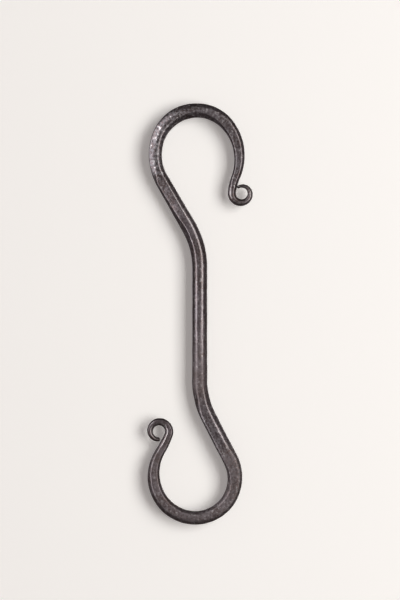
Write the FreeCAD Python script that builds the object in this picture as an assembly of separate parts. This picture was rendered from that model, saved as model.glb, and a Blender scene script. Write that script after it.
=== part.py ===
import FreeCAD, Part
import math
import os

# Hand-forged S-hook for hanging meat from a rail. All lengths are in millimetres.
#
# One octagonal steel bar is bent into two opposite hooks, and each end is drawn out thin and rolled into a small eye.
# The bar lies in the XZ plane, with the middle of its thickness at y = 0. +Z is up, as the hook hangs.
# The origin is the crown of the upper hook's inside, where the rail carries it.
# The hook is a single forging. Its nodes are the forging's five stretches, which meet face to face.

# The bar
BAR_WIDTH = 8.0  # across its flats, in the plane of the S
BAR_DEPTH = 8.0  # across its flats, front to back
CORNER_SHARE = 0.28  # how far a corner flat cuts into each side, as a share of the thinner side

# Each end of the bar is followed from the middle of the shank to its tip. A run of the bar is
# (centre-line radius, turn in degrees, width at its end, depth at its end), and a turn to the left is positive.
# A straight run has no turn, and its length stands in place of the radius.
UPPER_SHANK = [(31.0, 0.0, BAR_WIDTH, BAR_DEPTH)]
UPPER_INNER_HALF = [
    (42.0, 30.0, 8.2, BAR_DEPTH),  # knee
    (27.5, 0.0, 7.5, BAR_DEPTH),  # slope
    (27.5, -18.0, 6.7, BAR_DEPTH),  # shoulder, pinched by the bending
    (27.5, -27.0, 6.9, BAR_DEPTH),
    (21.5, -40.0, 7.8, BAR_DEPTH),
    (21.5, -35.0, 7.8, BAR_DEPTH),  # up to the crown, which rests on the rail
]
UPPER_OUTER_HALF = [
    (20.5, -50.0, 6.9, BAR_DEPTH),
    (27.0, -61.5, 4.7, 5.6),  # drawn-out point
]
UPPER_NECK = [
    (0.5, 0.0, 4.7, 5.6),
    (30.0, 15.0, 4.3, 5.2),
]
LOWER_SHANK = [(28.0, 0.0, BAR_WIDTH, BAR_DEPTH)]
LOWER_INNER_HALF = [
    (40.0, 27.0, 8.0, BAR_DEPTH),  # knee
    (25.5, 0.0, 8.2, BAR_DEPTH),  # slope
    (21.5, -37.0, 7.6, BAR_DEPTH),  # shoulder
    (20.5, -80.0, 6.9, BAR_DEPTH),  # down to the crown, which carries the meat
]
LOWER_OUTER_HALF = [
    (21.5, -54.0, 6.9, 7.6),
    (23.0, -30.0, 6.5, 6.9),
    (23.0, -35.5, 5.1, 5.8),  # drawn-out point
]
LOWER_NECK = [
    (4.5, 0.0, 4.8, 5.5),
    (43.0, 8.0, 4.5, 5.4),
]

# The rolled eyes: hole radius, turn from the neck to the tip, and the width and depth of the tip
UPPER_EYE = (3.0, 301.0, 1.7, 3.0)
LOWER_EYE = (3.1, 297.0, 1.8, 3.0)
DRESSING = 0.1  # what is dressed off the inside of a rolled eye to make its hole true

BEND_STEP = 8.0  # the largest turn between two cross-sections of a bend
EYE_STEP = 15.0  # the same in an eye

UP = 90.0  # heading of the shank
Y_AXIS = FreeCAD.Vector(0, 1, 0)


class Station:
    """One cross-section of the bar: its middle in the XZ plane, the bar's heading there, and its width and depth."""

    def __init__(self, x, z, heading, width, depth):
        self.x = x
        self.z = z
        self.heading = heading
        self.width = width
        self.depth = depth

    def left(self, distance):
        """The point this far to the left of the bar's middle."""
        angle = math.radians(self.heading + 90.0)
        return self.x + distance * math.cos(angle), self.z + distance * math.sin(angle)


def blend(first, last, share):
    """The number this share of the way from first to last."""
    return first + (last - first) * share


def follow(start, runs):
    """The start and the stations that follow it along the runs, with an even taper in each run."""
    stations = [start]
    for radius, turn, width, depth in runs:
        before = stations[-1]
        count = max(1, math.ceil(abs(turn) / BEND_STEP))
        step = turn / count
        chord = 2.0 * radius * math.sin(math.radians(abs(step) / 2.0)) if turn else radius
        x, z = before.x, before.z
        for i in range(1, count + 1):
            along = math.radians(before.heading + step * (i - 0.5))
            x += chord * math.cos(along)
            z += chord * math.sin(along)
            width_here = blend(before.width, width, i / count)
            depth_here = blend(before.depth, depth, i / count)
            stations.append(Station(x, z, before.heading + step * i, width_here, depth_here))
    return stations


def eye_centre(neck_end, hole_radius):
    """The middle of the hole that the bar rolls round, to the left of the neck's end."""
    return neck_end.left(hole_radius - DRESSING + neck_end.width / 2.0)


def roll(neck_end, hole_radius, turn, width, depth):
    """The stations of a rolled eye after the neck's end. Its inside keeps one radius while the bar gets thinner."""
    x, z = eye_centre(neck_end, hole_radius)
    count = math.ceil(turn / EYE_STEP)
    stations = []
    for i in range(1, count + 1):
        width_here = blend(neck_end.width, width, i / count)
        depth_here = blend(neck_end.depth, depth, i / count)
        ray = Station(x, z, neck_end.heading + turn * i / count, width_here, depth_here)
        middle = ray.left(DRESSING - hole_radius - width_here / 2.0)
        stations.append(Station(middle[0], middle[1], ray.heading, width_here, depth_here))
    return stations


def octagon(station):
    """The wire round the bar at a station."""
    across = station.width / 2.0
    deep = station.depth / 2.0
    corner = CORNER_SHARE * min(station.width, station.depth)
    front_half = [
        (across, corner - deep),
        (across - corner, -deep),
        (corner - across, -deep),
        (-across, corner - deep),
    ]
    back_half = [(-left, -y) for left, y in front_half]
    points = []
    for left, y in front_half + back_half:
        x, z = station.left(left)
        points.append(FreeCAD.Vector(x, y, z))
    return Part.makePolygon(points + points[:1])


def bar(stations):
    """The closed solid of the bar through its stations."""
    return Part.makeLoft([octagon(station) for station in stations], True, True)


def rolled_eye(neck, eye):
    """A neck and its eye, with the inside dressed to a true hole."""
    hole_radius = eye[0]
    x, z = eye_centre(neck[-1], hole_radius)
    hole = Part.makeCylinder(hole_radius, 2.0 * BAR_DEPTH, FreeCAD.Vector(x, -BAR_DEPTH, z), Y_AXIS)
    return bar(neck + roll(neck[-1], *eye)).cut(hole)


def half_forging(shank_runs, inner_runs, outer_runs, neck_runs, eye):
    """The solids of one end, as it points up from the middle of the shank, and the station at its crown."""
    shank = follow(Station(0.0, 0.0, UP, BAR_WIDTH, BAR_DEPTH), shank_runs)
    inner = follow(shank[-1], inner_runs)
    outer = follow(inner[-1], outer_runs)
    neck = follow(outer[-1], neck_runs)
    return {
        "shank": bar(shank),
        "hook": bar(inner + outer[1:]),
        "eye": rolled_eye(neck, eye),
        "crown": inner[-1],
    }


def turned_over(shape):
    """The shape turned half a turn about the middle of the shank, as the lower end points."""
    return shape.rotated(FreeCAD.Vector(0, 0, 0), Y_AXIS, 180.0)


def forging():
    """Every node's shape, with the origin at the upper hook's seat."""
    upper = half_forging(UPPER_SHANK, UPPER_INNER_HALF, UPPER_OUTER_HALF, UPPER_NECK, UPPER_EYE)
    lower = half_forging(LOWER_SHANK, LOWER_INNER_HALF, LOWER_OUTER_HALF, LOWER_NECK, LOWER_EYE)
    nodes = {
        "upper_eye": upper["eye"],
        "upper_hook": upper["hook"],
        "shank": upper["shank"].fuse(turned_over(lower["shank"])).removeSplitter(),
        "lower_hook": turned_over(lower["hook"]),
        "lower_eye": turned_over(lower["eye"]),
    }
    crown = upper["crown"]
    seat_x, seat_z = crown.left(-crown.width / 2.0)
    to_seat = FreeCAD.Vector(-seat_x, 0, -seat_z)
    return {name: shape.translated(to_seat) for name, shape in nodes.items()}


def main():
    os.makedirs("parts", exist_ok=True)
    for name, shape in forging().items():
        solid = shape.Solids[0]
        print(name, "solids", len(shape.Solids), "valid", solid.isValid(), "volume", round(solid.Volume, 1))
        solid.exportStep("parts/" + name + ".step")


main()
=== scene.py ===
import math

import bpy
import numpy as np
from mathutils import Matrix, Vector


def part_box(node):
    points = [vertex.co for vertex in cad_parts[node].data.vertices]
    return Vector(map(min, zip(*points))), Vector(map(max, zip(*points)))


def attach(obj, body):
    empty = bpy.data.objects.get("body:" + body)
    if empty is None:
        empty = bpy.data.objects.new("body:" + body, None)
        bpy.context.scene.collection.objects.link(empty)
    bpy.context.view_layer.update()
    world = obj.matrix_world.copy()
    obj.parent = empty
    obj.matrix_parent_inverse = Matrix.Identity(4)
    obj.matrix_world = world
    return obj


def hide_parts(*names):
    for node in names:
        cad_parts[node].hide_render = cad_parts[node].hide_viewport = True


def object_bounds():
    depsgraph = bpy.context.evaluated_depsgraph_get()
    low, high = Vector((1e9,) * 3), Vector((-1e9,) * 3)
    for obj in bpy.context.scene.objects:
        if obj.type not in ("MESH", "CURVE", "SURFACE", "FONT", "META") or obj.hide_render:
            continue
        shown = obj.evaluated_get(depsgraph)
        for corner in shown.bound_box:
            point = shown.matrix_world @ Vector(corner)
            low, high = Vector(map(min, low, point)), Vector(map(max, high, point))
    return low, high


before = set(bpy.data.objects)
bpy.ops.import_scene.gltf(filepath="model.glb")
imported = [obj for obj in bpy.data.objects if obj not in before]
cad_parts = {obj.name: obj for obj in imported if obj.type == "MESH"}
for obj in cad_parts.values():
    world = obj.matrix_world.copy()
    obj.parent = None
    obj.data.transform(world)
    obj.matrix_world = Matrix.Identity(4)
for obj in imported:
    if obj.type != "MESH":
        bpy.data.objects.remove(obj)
cad_low, cad_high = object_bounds()

# --------------------------------------------------------------------------------------------------
# The forging, in millimetres and degrees, followed from the middle of the shank to each tip, as in the CAD
# --------------------------------------------------------------------------------------------------

MM = 0.001
BAR = 8.0  # the bar's width and depth across its flats

# How the front of the bar is dressed where a run ends. Side A is the shank's +X side, all along the bar.
#  0 to 2: side A's corner flat: its share of the bar's width, its tilt from the front, its arrises' sharpness
#  3 to 5: the same for side B
#  6: roll of the front flat toward side A
#  7: forge scale left on the flats
#  8: how matte the bar is
#   9: painted highlight: how much paler side A's arrises are made, in the colour of rubbed bare steel
DRESS = {
    "shank": (0.30, 45.0, 9.0, 0.27, 45.0, 9.0, 0.0, 0.40, 0.0, 0.1),
    "knee": (0.29, 45.0, 10.0, 0.26, 53.0, 28.0, -3.0, 0.36, 0.1, 0.4),
    "mid_slope": (0.28, 45.0, 9.0, 0.16, 52.0, 26.0, -16.0, 0.55, 0.1, 0.4),
    "slope": (0.28, 45.0, 12.0, 0.12, 55.0, 26.0, -12.0, 0.60, 0.2, 0.1),
    "shoulder": (0.29, 38.0, 16.0, 0.49, 18.5, 24.0, 0.0, 1.00, 0.0, 0.0),
    "upper_crown": (0.28, 55.0, 24.0, 0.38, 37.0, 7.5, 0.0, 1.00, 0.1, 0.0),
    "upper_top": (0.32, 50.0, 16.0, 0.32, 58.0, 12.0, 0.0, 0.80, 0.1, 0.0),
    "upper_haunch": (0.14, 55.0, 26.0, 0.25, 44.0, 14.0, 4.0, 0.60, 0.1, 0.0),
    "point": (0.18, 50.0, 24.0, 0.28, 46.0, 12.0, 6.0, 0.60, 0.1, 0.1),
    "neck": (0.34, 33.0, 11.0, 0.28, 50.0, 14.0, 0.0, 0.40, 0.0, 0.4),
    "eye": (0.40, 33.0, 8.0, 0.30, 45.0, 8.0, 0.0, 0.30, 0.0, 0.1),
    "lower_shank": (0.30, 46.0, 9.0, 0.27, 46.0, 9.0, 0.0, 0.50, 1.2, 0.0),
    "lower_knee": (0.27, 46.0, 16.0, 0.26, 50.0, 22.0, -3.0, 0.36, 0.5, 0.2),
    "lower_slope": (0.30, 46.0, 9.0, 0.09, 45.0, 18.0, -7.0, 0.65, 0.1, 0.1),
    "lower_shoulder": (0.18, 50.0, 9.0, 0.10, 55.0, 22.0, -2.0, 0.65, 1.0, 0.0),
    "lower_bend": (0.20, 50.0, 9.0, 0.25, 45.0, 14.0, -2.0, 0.65, 1.0, 0.0),
    "lower_crown": (0.26, 48.0, 12.0, 0.20, 50.0, 16.0, 0.0, 0.60, 0.7, 0.0),
    "lower_point": (0.28, 44.0, 16.0, 0.17, 52.0, 34.0, -3.0, 0.40, 0.4, 0.0),
    "lower_neck": (0.32, 34.0, 11.0, 0.17, 55.0, 30.0, -4.0, 0.30, 0.0, 0.6),
}

# A run is (centre-line radius, turn, width at its end, depth at its end, dress at its end).
# A turn to the left is positive, and a straight run has its length in place of the radius.
UPPER = {
    "shank": [(31.0, 0.0, 8.0, BAR, "shank")],
    "upper_hook": [
        (42.0, 30.0, 8.2, BAR, "knee"),
        (13.5, 0.0, 7.85, BAR, "mid_slope"),
        (14.0, 0.0, 7.5, BAR, "slope"),
        (27.5, -18.0, 6.7, BAR, "shoulder"),
        (27.5, -27.0, 6.9, BAR, "shoulder"),
        (21.5, -40.0, 7.8, BAR, "upper_crown"),
        (21.5, -35.0, 7.8, BAR, "upper_top"),
        (20.5, -50.0, 6.9, BAR, "upper_haunch"),
        (27.0, -61.5, 4.7, 5.6, "point"),
    ],
    "upper_eye": [
        (0.5, 0.0, 4.7, 5.6, "point"),
        (30.0, 15.0, 4.3, 5.2, "neck"),
    ],
}
LOWER = {
    "shank": [(28.0, 0.0, 8.0, BAR, "lower_shank")],
    "lower_hook": [
        (40.0, 13.5, 8.0, BAR, "lower_knee"),
        (40.0, 13.5, 8.0, BAR, "lower_slope"),
        (16.0, 0.0, 8.12, BAR, "lower_slope"),
        (9.5, 0.0, 8.2, BAR, "lower_shoulder"),
        (21.5, -37.0, 7.6, BAR, "lower_bend"),
        (20.5, -80.0, 6.9, BAR, "lower_crown"),
        (21.5, -54.0, 6.9, 7.6, "lower_point"),
        (23.0, -30.0, 6.5, 6.9, "lower_point"),
        (23.0, -35.5, 5.1, 5.8, "lower_point"),
    ],
    "lower_eye": [
        (4.5, 0.0, 4.8, 5.5, "lower_neck"),
        (43.0, 8.0, 4.5, 5.4, "lower_neck"),
    ],
}
UPPER_EYE = (3.0, 316.0, 1.3, 2.6)  # hole radius, turn to the tip, width and depth of the tip
LOWER_EYE = (3.1, 300.0, 2.1, 3.2)

EYE_TAPER = 1.2  # above 1, the eye thins late
EYE_HALF_WIDTH = 1.5  # about half the bar's width as it goes round an eye

# A row of the table of rings: the columns before the dress, then the dress's own
X, Z, HEADING, WIDTH, DEPTH = range(5)
FLATS = slice(5, 12)
# HIGHLIGHT_A is the column of side A's painted highlight on its arrises
SCALE, MATTE, HIGHLIGHT_A = range(12, 15)

# How uneven the hand-dressed flats are
FLAT_SWING = 2.5  # of a flat's direction
FLAT_SWING_PERIOD = 13.0  # along the bar
FLAT_HEIGHT = 0.010  # of a flat's distance from the bar's middle, as a share of it
FLAT_HEIGHT_PERIOD = 7.0
FLAT_DRAW = 0.004  # what dressing takes off every flat, as the same share
AWAY = 1e-6  # how much a flat counts for skin that faces away from it: next to nothing

# The hammer marks, from the largest: (depth everywhere, extra depth on scale, length, number round the bar)
HAMMER_MARKS = [
    (0.060, 0.0, 6.5, 9),
    (0.032, 0.0, 2.6, 17),
    (0.0, 0.032, 0.9, 11),
    (0.0021, 0.014, 0.6, 44),
]
SKIN_LOSS = 0.01  # what the forge takes off the whole skin

WEAR = 0.15  # how far any arris is rubbed bare
ARRIS_START = 0.45  # how much of a corner a point has to be before it is rubbed
ARRIS_SPREAD = 0.5  # how much more makes it wholly rubbed
SIDE_SPLIT = 4.0  # how suddenly side A's arrises give way to side B's across the front

RING_GAP = 0.25  # between two rings of the mesh
RING_POINTS = 96
TIP_ROUNDING = 0.6  # length of the rounded end
TIP_END = 0.97  # how far into the rounding its last ring lies
SEED = 11


def ease(share):
    """A share from 0 to 1, with a smooth start and end."""
    return share * share * (3.0 - 2.0 * share)


def smooth_walk(rng, where, period):
    """A smooth random line with values of about -1 to 1, read at the places given."""
    count = int(where[-1] / period) + 4
    knots = rng.uniform(-1.0, 1.0, count)
    at = where / period
    left = at.astype(int)
    share = ease(at - left)
    return knots[left] * (1.0 - share) + knots[left + 1] * share


def smooth_field(rng, along, around, period, lobes):
    """A smooth random field over the bar's skin, of about -1 to 1, that closes on itself round the bar."""
    rows = int(along[-1] / period) + 4
    knots = rng.uniform(-1.0, 1.0, (rows, lobes))
    v = along / period
    row = v.astype(int)
    dv = ease(v - row)[:, None]
    u = around / (2.0 * math.pi) * lobes
    column = u.astype(int) % lobes
    after = (column + 1) % lobes
    du = ease(u - u.astype(int))[None, :]
    low = knots[row][:, column] * (1.0 - du) + knots[row][:, after] * du
    high = knots[row + 1][:, column] * (1.0 - du) + knots[row + 1][:, after] * du
    return low * (1.0 - dv) + high * dv


def follow(stretches, eye):
    """The rings of one end, from the middle of the shank to the tip, and the ring where each stretch ends."""
    x, z, heading = 0.0, 0.0, 90.0
    state = np.array([BAR, BAR, *DRESS["shank"]])
    rows = [np.array([x, z, heading, *state])]
    ends = {}
    for name, runs in stretches.items():
        for radius, turn, width, depth, dress in runs:
            goal = np.array([width, depth, *DRESS[dress]])
            length = radius * math.radians(abs(turn)) if turn else radius
            count = max(2, math.ceil(length / RING_GAP))
            half_step = math.radians(abs(turn) / count / 2.0)
            chord = 2.0 * radius * math.sin(half_step) if turn else length / count
            for i in range(count):
                middle = math.radians(heading + turn * (i + 0.5) / count)
                x += chord * math.cos(middle)
                z += chord * math.sin(middle)
                now = state + (goal - state) * (i + 1) / count
                rows.append(np.array([x, z, heading + turn * (i + 1) / count, *now]))
            heading += turn
            state = goal
        ends[name] = len(rows) - 1
    # The eye rolls round a hole to the left of the neck
    hole_radius, turn, tip_width, tip_depth = eye
    goal = np.array([tip_width, tip_depth, *DRESS["eye"]])
    left = math.radians(heading + 90.0)
    centre_x = x + (hole_radius + state[0] / 2.0) * math.cos(left)
    centre_z = z + (hole_radius + state[0] / 2.0) * math.sin(left)
    count = math.ceil((hole_radius + EYE_HALF_WIDTH) * math.radians(turn) / RING_GAP)
    for i in range(count):
        now = state + (goal - state) * ((i + 1) / count) ** EYE_TAPER
        toward = heading + turn * (i + 1) / count
        out = math.radians(toward - 90.0)
        reach = hole_radius + now[0] / 2.0
        x = centre_x + reach * math.cos(out)
        z = centre_z + reach * math.sin(out)
        rows.append(np.array([x, z, toward, *now]))
    ends["tip"] = len(rows) - 1
    return np.array(rows), ends


def whole_bar():
    """The rings from the upper tip to the lower tip, in the CAD's place, and each node's first and last."""
    upper, upper_ends = follow(UPPER, UPPER_EYE)
    lower, lower_ends = follow(LOWER, LOWER_EYE)
    # The lower end is turned over, and the upper one is read from its tip down
    lower[:, [X, Z]] *= -1.0
    lower[:, HEADING] += 180.0
    upper[:, HEADING] += 180.0
    middle = upper_ends["tip"]  # the ring in the middle of the shank
    rings = np.vstack([upper[::-1], lower[1:]])
    spans = {
        "upper_eye": (0, middle - upper_ends["upper_hook"]),
        "upper_hook": (middle - upper_ends["upper_hook"], middle - upper_ends["shank"]),
        "shank": (middle - upper_ends["shank"], middle + lower_ends["shank"]),
        "lower_hook": (middle + lower_ends["shank"], middle + lower_ends["lower_hook"]),
        "lower_eye": (middle + lower_ends["lower_hook"], middle + lower_ends["tip"]),
    }
    # The shank's box places the bar
    low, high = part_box("shank")
    rings[:, X] += (low[0] + high[0]) / 2.0 / MM
    rings[:, Z] += high[2] / MM - UPPER["shank"][0][0]
    return rings, spans


def section(rings, along, around, rng):
    """How far the skin lies from the bar's middle, as a share of half its size, and how far it is rubbed
    bare, with a painted highlight on side A's arrises.
    """
    share_a, tilt_a, sharp_a, share_b, tilt_b, sharp_b, roll = rings[:, FLATS].T
    tilt_a, tilt_b, roll = np.radians(tilt_a), np.radians(tilt_b), np.radians(roll)
    arris_a, arris_b = 1.0 - 2.0 * share_a, 1.0 - 2.0 * share_b
    # The front flat turns about the arris that it rolls away from, so it never stands above the bar
    front = np.cos(roll) - np.abs(np.sin(roll)) * np.where(roll < 0.0, arris_a, arris_b)
    height_a = (front - np.sin(roll) * arris_a) / np.cos(roll)
    height_b = (front + np.sin(roll) * arris_b) / np.cos(roll)
    quarter = np.full(len(rings), math.pi / 2.0)
    zero = np.zeros(len(rings))
    one = np.ones(len(rings))
    # Each flat's direction round the bar and its distance from the middle, from side A by way of the front
    flats = [
        (zero, one),
        (quarter - tilt_a, np.sin(tilt_a) * arris_a + np.cos(tilt_a) * height_a),
        (quarter - roll, front),
        (quarter + tilt_b, np.sin(tilt_b) * arris_b + np.cos(tilt_b) * height_b),
        (2.0 * quarter, one),
        (3.0 * quarter - tilt_b, np.sin(tilt_b) * arris_b + np.cos(tilt_b)),
        (3.0 * quarter, one),
        (3.0 * quarter + tilt_a, np.sin(tilt_a) * arris_a + np.cos(tilt_a)),
    ]
    toward_a = 0.5 + 0.5 * np.tanh(SIDE_SPLIT * np.cos(around))[None, :]
    sharpness = sharp_a[:, None] * toward_a + sharp_b[:, None] * (1.0 - toward_a)
    strengths = []
    for angle, offset in flats:
        angle = angle + math.radians(FLAT_SWING) * smooth_walk(rng, along, FLAT_SWING_PERIOD)
        offset = offset * (1.0 + FLAT_HEIGHT * smooth_walk(rng, along, FLAT_HEIGHT_PERIOD) - FLAT_DRAW)
        facing = np.cos(around[None, :] - angle[:, None]) / offset[:, None]
        strengths.append(np.clip(facing, AWAY, None) ** sharpness)
    total = sum(strengths)
    radius = total ** (-1.0 / sharpness)
    # About 1 where two flats meet, and about 0 in the middle of a flat
    corner = 2.0 * (1.0 - np.max(strengths, axis=0) / total)
    arris = ease(np.clip((corner - ARRIS_START) / ARRIS_SPREAD, 0.0, 1.0))
    # Rubbed wear on every arris, and on side A a painted highlight: its arrises made paler where the fill's
    # highlight falls
    highlight_a = rings[:, HIGHLIGHT_A][:, None]
    return radius, arris * (WEAR + highlight_a * toward_a)


def skin():
    """Every point of the bar's skin, its normals, the masks that its finish uses, and each node's rings."""
    rng = np.random.default_rng(SEED)
    rings, spans = whole_bar()
    steps = np.hypot(np.diff(rings[:, X]), np.diff(rings[:, Z]))
    along = np.concatenate([[0.0], np.cumsum(steps)])
    around = np.arange(RING_POINTS) * 2.0 * math.pi / RING_POINTS
    radius, worn_and_highlit = section(rings, along, around, rng)
    scale = rings[:, SCALE][:, None] * np.ones(RING_POINTS)
    matte = rings[:, MATTE][:, None] * np.ones(RING_POINTS)
    half_width = rings[:, WIDTH][:, None] / 2.0
    half_depth = rings[:, DEPTH][:, None] / 2.0
    slimness = np.minimum(1.0, rings[:, WIDTH] / BAR)[:, None]
    dents = np.zeros_like(scale)
    for everywhere, on_scale, period, lobes in HAMMER_MARKS:
        dents += (everywhere + on_scale * scale) * smooth_field(rng, along, around, period, lobes)
    dents = dents * slimness - SKIN_LOSS
    across = np.cos(around)[None, :] * radius
    front = np.sin(around)[None, :] * radius
    size = np.hypot(across * half_width, front * half_depth)
    across = across * half_width * (1.0 + dents / size)
    front = front * half_depth * (1.0 + dents / size)
    for end in (along, along[-1] - along):
        near = np.clip(1.0 - end / TIP_ROUNDING, 0.0, TIP_END)
        closing = np.sqrt(1.0 - near**2)[:, None]
        across = across * closing
        front = front * closing
    heading = np.radians(rings[:, HEADING])[:, None]
    points = np.stack([
        rings[:, X][:, None] - np.sin(heading) * across,
        -front,
        rings[:, Z][:, None] + np.cos(heading) * across,
    ], axis=2)
    along_skin = np.gradient(points, axis=0)
    round_skin = np.roll(points, -1, axis=1) - np.roll(points, 1, axis=1)
    normals = np.cross(round_skin, along_skin)
    normals /= np.linalg.norm(normals, axis=2, keepdims=True)
    outward = points - points.mean(axis=1, keepdims=True)
    if (normals * outward).sum() < 0.0:
        normals = -normals
    # worn_and_highlit holds the rubbed arrises and side A's painted highlight
    masks = {"worn_and_highlit": worn_and_highlit, "scale": scale, "matte": matte}
    return points * MM, normals, masks, spans


def add_mask(mesh, name, values):
    """A number on every point, for the material to read."""
    mesh.attributes.new(name, "FLOAT", "POINT").data.foreach_set("value", values.astype(np.float32).ravel())


def forged_piece(name, points, normals, masks):
    """A closed piece of the bar. Its normals are the whole bar's, so that pieces meet without a seam."""
    rings, count = points.shape[:2]
    index = np.arange(rings * count).reshape(rings, count)
    following = np.roll(index, -1, axis=1)
    quads = np.stack([index[:-1], following[:-1], following[1:], index[1:]], axis=2).reshape(-1, 4)
    first_cap = index[0][::-1]
    last_cap = index[-1]
    faces = [*quads.tolist(), first_cap.tolist(), last_cap.tolist()]
    mesh = bpy.data.meshes.new(name)
    mesh.from_pydata(points.reshape(-1, 3).tolist(), [], faces)
    mesh.update()
    flat_normals = normals.reshape(-1, 3)
    first_way = points[0].mean(axis=0) - points[1].mean(axis=0)
    last_way = points[-1].mean(axis=0) - points[-2].mean(axis=0)
    loops = np.concatenate([
        flat_normals[quads.ravel()],
        np.tile(first_way / np.linalg.norm(first_way), (count, 1)),
        np.tile(last_way / np.linalg.norm(last_way), (count, 1)),
    ])
    mesh.polygons.foreach_set("use_smooth", np.ones(len(faces), bool))
    mesh.normals_split_custom_set(loops.tolist())
    for mask, values in masks.items():
        add_mask(mesh, mask, values)
    piece = bpy.data.objects.new(name, mesh)
    bpy.context.scene.collection.objects.link(piece)
    return piece


# --------------------------------------------------------------------------------------------------
# Materials
# --------------------------------------------------------------------------------------------------


def feed(tree, socket, value):
    """The socket takes the value, or another node's output."""
    if isinstance(value, bpy.types.NodeSocket):
        tree.links.new(value, socket)
    else:
        socket.default_value = value


def add_node(tree, kind, **inputs):
    """A node with its inputs fed."""
    node = tree.nodes.new(kind)
    for key, value in inputs.items():
        feed(tree, node.inputs[key], value)
    return node


def noise(tree, vector, scale, detail, roughness):
    """A noise pattern with this many features to a metre."""
    inputs = {"Vector": vector, "Scale": scale, "Detail": detail, "Roughness": roughness}
    return add_node(tree, "ShaderNodeTexNoise", **inputs).outputs["Fac"]


def mask_of(tree, name):
    """A number that the mesh holds on its points."""
    node = tree.nodes.new("ShaderNodeAttribute")
    node.attribute_name = name
    return node.outputs["Fac"]


def ramp(tree, factor, low, high, to_low=0.0, to_high=1.0):
    """The factor from low to high, spread from to_low to to_high with smooth ends."""
    node = tree.nodes.new("ShaderNodeMapRange")
    node.interpolation_type = "SMOOTHSTEP"
    tree.links.new(factor, node.inputs["Value"])
    for key, value in (("From Min", low), ("From Max", high), ("To Min", to_low), ("To Max", to_high)):
        node.inputs[key].default_value = value
    return node.outputs["Result"]


def math_of(tree, operation, first, second):
    """The result of an operation on two values."""
    node = tree.nodes.new("ShaderNodeMath")
    node.operation = operation
    feed(tree, node.inputs[0], first)
    feed(tree, node.inputs[1], second)
    return node.outputs[0]


def mix_colour(tree, factor, first, second):
    """The first colour, with the second over it as far as the factor says."""
    node = tree.nodes.new("ShaderNodeMix")
    node.data_type = "RGBA"
    for key, value in (("Factor_Float", factor), ("A_Color", first), ("B_Color", second)):
        feed(tree, next(s for s in node.inputs if s.identifier == key), value)
    return next(s for s in node.outputs if s.identifier == "Result_Color")


BROWN = (0.074, 0.054, 0.052, 1.0)
PURPLE = (0.112, 0.092, 0.098, 1.0)
LILAC = (0.160, 0.150, 0.159, 1.0)
# Pale specks on the scale that stand in for glints: a painted glint colour
GLINT = (0.390, 0.370, 0.374, 1.0)
UMBER = (0.112, 0.084, 0.078, 1.0)
PIT = (0.052, 0.044, 0.045, 1.0)
# Bare steel of rubbed arrises, also the colour of side A's painted highlight
WORN_AND_HIGHLIGHT = (0.300, 0.288, 0.286, 1.0)


def forged_steel():
    """Dark forge scale, brushed and oiled: purple-brown, flecked and pitted where scale is left on the flats,
    with painted glints as pale specks there, umber where it is matte, and bare steel where the arrises are
    rubbed, paler still on side A's arrises as a painted highlight."""
    material = bpy.data.materials.new("forged_steel_scale")
    material.use_nodes = True
    tree = material.node_tree
    shader = tree.nodes["Principled BSDF"]
    place = tree.nodes.new("ShaderNodeTexCoord").outputs["Object"]
    rubbed_and_highlit = mask_of(tree, "worn_and_highlit")
    scale = mask_of(tree, "scale")
    matte = mask_of(tree, "matte")
    blotch = noise(tree, place, 140.0, 3.0, 0.55)
    mottle = noise(tree, place, 1000.0, 3.0, 0.6)
    speck = noise(tree, place, 700.0, 2.0, 0.65)
    grain = noise(tree, place, 2600.0, 2.0, 0.6)

    flecks = math_of(tree, "MULTIPLY", ramp(tree, mottle, 0.42, 0.58), scale)
    # Painted glints: pale dots in the colour of bare steel where the speck noise peaks on the scale
    glints = math_of(tree, "MULTIPLY", ramp(tree, speck, 0.58, 0.70), scale)
    pits = math_of(tree, "MULTIPLY", ramp(tree, speck, 0.38, 0.46, 0.9, 0.0), scale)
    # Rubbed arris wear, and on side A a painted highlight, broken up by the mottle
    wear_and_highlight = math_of(tree, "MULTIPLY", rubbed_and_highlit, ramp(tree, mottle, 0.30, 0.55))
    colour = mix_colour(tree, ramp(tree, blotch, 0.36, 0.64), BROWN, PURPLE)
    colour = mix_colour(tree, flecks, colour, LILAC)
    colour = mix_colour(tree, glints, colour, GLINT)
    colour = mix_colour(tree, math_of(tree, "MULTIPLY", matte, 0.28), colour, UMBER)
    colour = mix_colour(tree, pits, colour, PIT)
    colour = mix_colour(tree, wear_and_highlight, colour, WORN_AND_HIGHLIGHT)
    tree.links.new(colour, shader.inputs["Base Color"])

    rough = ramp(tree, mottle, 0.35, 0.65, 0.28, 0.38)
    rough = math_of(tree, "ADD", rough, math_of(tree, "MULTIPLY", flecks, 0.12))
    rough = math_of(tree, "ADD", rough, math_of(tree, "MULTIPLY", matte, 0.22))
    rough = math_of(tree, "SUBTRACT", rough, math_of(tree, "MULTIPLY", wear_and_highlight, 0.12))
    tree.links.new(rough, shader.inputs["Roughness"])
    shader.inputs["Metallic"].default_value = 0.85
    shader.inputs["Specular IOR Level"].default_value = 0.4
    shader.inputs["Specular Tint"].default_value = (0.34, 0.34, 0.34, 1.0)

    height = math_of(tree, "MULTIPLY", mottle, 0.7)
    height = math_of(tree, "ADD", height, math_of(tree, "MULTIPLY", grain, 0.3))
    bump = add_node(tree, "ShaderNodeBump", Strength=0.6, Distance=0.00008, Height=height)
    tree.links.new(bump.outputs["Normal"], shader.inputs["Normal"])
    return material


PAPER = 0.33  # from the middle of the backdrop to its edges
PAPER_FADE = 0.62  # the share of that distance where the paper starts to fade


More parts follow.
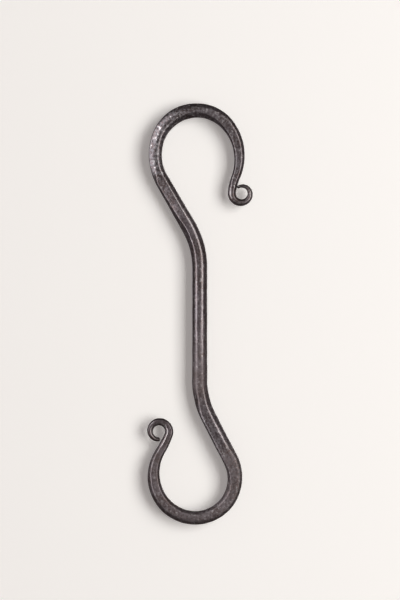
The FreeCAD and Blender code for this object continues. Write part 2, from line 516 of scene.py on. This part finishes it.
def paper():
    """Plain pale paper that is clear from behind and fades out towards its edges."""
    material = bpy.data.materials.new("pale_paper")
    material.use_nodes = True
    tree = material.node_tree
    shader = tree.nodes["Principled BSDF"]
    shader.inputs["Base Color"].default_value = (0.893, 0.883, 0.866, 1.0)
    shader.inputs["Emission Color"].default_value = (1.0, 0.97, 0.94, 1.0)
    shader.inputs["Emission Strength"].default_value = 0.21
    shader.inputs["Roughness"].default_value = 0.95
    shader.inputs["Specular IOR Level"].default_value = 0.0
    clear = tree.nodes.new("ShaderNodeBsdfTransparent")
    side = tree.nodes.new("ShaderNodeNewGeometry")
    place = tree.nodes.new("ShaderNodeTexCoord").outputs["Object"]
    reach = tree.nodes.new("ShaderNodeVectorMath")
    reach.operation = "LENGTH"
    tree.links.new(place, reach.inputs[0])
    far = ramp(tree, reach.outputs["Value"], PAPER * PAPER_FADE, PAPER)
    mix = tree.nodes.new("ShaderNodeMixShader")
    tree.links.new(math_of(tree, "MAXIMUM", side.outputs["Backfacing"], far), mix.inputs[0])
    tree.links.new(shader.outputs[0], mix.inputs[1])
    tree.links.new(clear.outputs[0], mix.inputs[2])
    tree.links.new(mix.outputs[0], tree.nodes["Material Output"].inputs["Surface"])
    return material


# --------------------------------------------------------------------------------------------------
# Stage, lights and camera
# --------------------------------------------------------------------------------------------------


def add_backdrop(middle):
    """A sheet of paper that faces -Y and takes the object's shadow."""
    mesh = bpy.data.meshes.new("backdrop")
    corners = [(-PAPER, 0.0, -PAPER), (PAPER, 0.0, -PAPER), (PAPER, 0.0, PAPER), (-PAPER, 0.0, PAPER)]
    mesh.from_pydata(corners, [], [(0, 1, 2, 3)])
    mesh.materials.append(paper())
    backdrop = bpy.data.objects.new("backdrop", mesh)
    backdrop.location = middle
    bpy.context.scene.collection.objects.link(backdrop)
    backdrop.visible_shadow = False
    backdrop.visible_glossy = False
    backdrop.visible_diffuse = False


def add_area_light(name, aim, azimuth, elevation, distance, size, power, colour, seen_by_paper=True):
    """A soft box that faces the aim. Azimuth 0 is the camera's side and 90 is +X.
    One that the paper doesn't see shows in the steel's gloss alone."""
    lamp = bpy.data.lights.new(name, "AREA")
    lamp.shape = "RECTANGLE"
    lamp.size, lamp.size_y = size
    lamp.energy = power
    lamp.color = colour
    light = bpy.data.objects.new(name, lamp)
    bpy.context.scene.collection.objects.link(light)
    a, e = math.radians(azimuth), math.radians(elevation)
    way = Vector((math.sin(a) * math.cos(e), -math.cos(a) * math.cos(e), math.sin(e)))
    light.location = aim + way * distance
    light.rotation_mode = "QUATERNION"
    light.rotation_quaternion = way.to_track_quat("Z", "Y")
    light.visible_diffuse = seen_by_paper


def add_world(seen, felt):
    """A world that the camera sees in one colour, and that lights the object with another."""
    world = bpy.data.worlds.new("studio")
    bpy.context.scene.world = world
    world.use_nodes = True
    tree = world.node_tree
    shown = tree.nodes["Background"]
    shown.inputs["Color"].default_value = (*seen, 1.0)
    lit = tree.nodes.new("ShaderNodeBackground")
    lit.inputs["Color"].default_value = (*felt, 1.0)
    path = tree.nodes.new("ShaderNodeLightPath")
    mix = tree.nodes.new("ShaderNodeMixShader")
    tree.links.new(path.outputs["Is Camera Ray"], mix.inputs[0])
    tree.links.new(lit.outputs[0], mix.inputs[1])
    tree.links.new(shown.outputs[0], mix.inputs[2])
    tree.links.new(mix.outputs[0], tree.nodes["World Output"].inputs["Surface"])


SENSOR = 36.0  # the camera's own millimetres, along the picture's longer side


def add_camera(target, distance, view_height):
    """A long lens that looks along +Y, as the photograph does."""
    camera_data = bpy.data.cameras.new("camera")
    camera_data.sensor_width = SENSOR
    camera_data.lens = SENSOR * distance / view_height
    camera = bpy.data.objects.new("camera", camera_data)
    bpy.context.scene.collection.objects.link(camera)
    camera.location = target - Vector((0.0, distance, 0.0))
    camera.rotation_euler = (math.radians(90.0), 0.0, 0.0)
    bpy.context.scene.camera = camera


points, normals, masks, spans = skin()
steel = forged_steel()
for node, (first, last) in spans.items():
    part = slice(first, last + 1)
    own_masks = {name: values[part] for name, values in masks.items()}
    piece = forged_piece("forged_" + node, points[part], normals[part], own_masks)
    piece.data.materials.append(steel)
    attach(piece, "root")
    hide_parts(node)

# The photograph's frame sits a little right of the origin and above the object's middle
AIM_RIGHT = 0.0015
AIM_ABOVE = 0.0071
PAPER_BEHIND = 0.0062  # from the bar's middle to the paper
VIEW_DISTANCE = 1.3
VIEW_HEIGHT = 0.312
BACK_AZIMUTH = 32.0  # of the two lamps behind, each side of straight behind

centre = (cad_low + cad_high) / 2.0
aim = Vector((AIM_RIGHT, 0.0, centre.z + AIM_ABOVE))
add_backdrop(aim + Vector((0.0, PAPER_BEHIND, 0.0)))
add_world(seen=(0.92, 0.895, 0.868), felt=(0.170, 0.147, 0.144))
add_area_light(
    "key", aim, azimuth=38.0, elevation=4.0, distance=2.0, size=(1.1, 1.8),
    power=37.6, colour=(0.985, 0.975, 0.952),
)
add_area_light(
    "front", aim, azimuth=-6.0, elevation=8.0, distance=1.6, size=(1.0, 1.2),
    power=1.05, colour=(0.99, 0.975, 0.97), seen_by_paper=False,
)
add_area_light(
    "fill", aim, azimuth=-50.0, elevation=12.0, distance=1.0, size=(0.5, 1.45),
    power=15.0, colour=(0.955, 0.955, 0.972), seen_by_paper=False,
)
add_area_light(
    "back_key", aim, azimuth=180.0 - BACK_AZIMUTH, elevation=6.0, distance=1.0, size=(0.5, 0.9),
    power=3.5, colour=(1.0, 0.97, 0.93),
)
add_area_light(
    "back_fill", aim, azimuth=180.0 + BACK_AZIMUTH, elevation=6.0, distance=1.0, size=(0.5, 0.9),
    power=3.5, colour=(0.95, 0.94, 1.0),
)
add_camera(aim, VIEW_DISTANCE, VIEW_HEIGHT)
bpy.context.scene.view_settings.view_transform = "Standard"
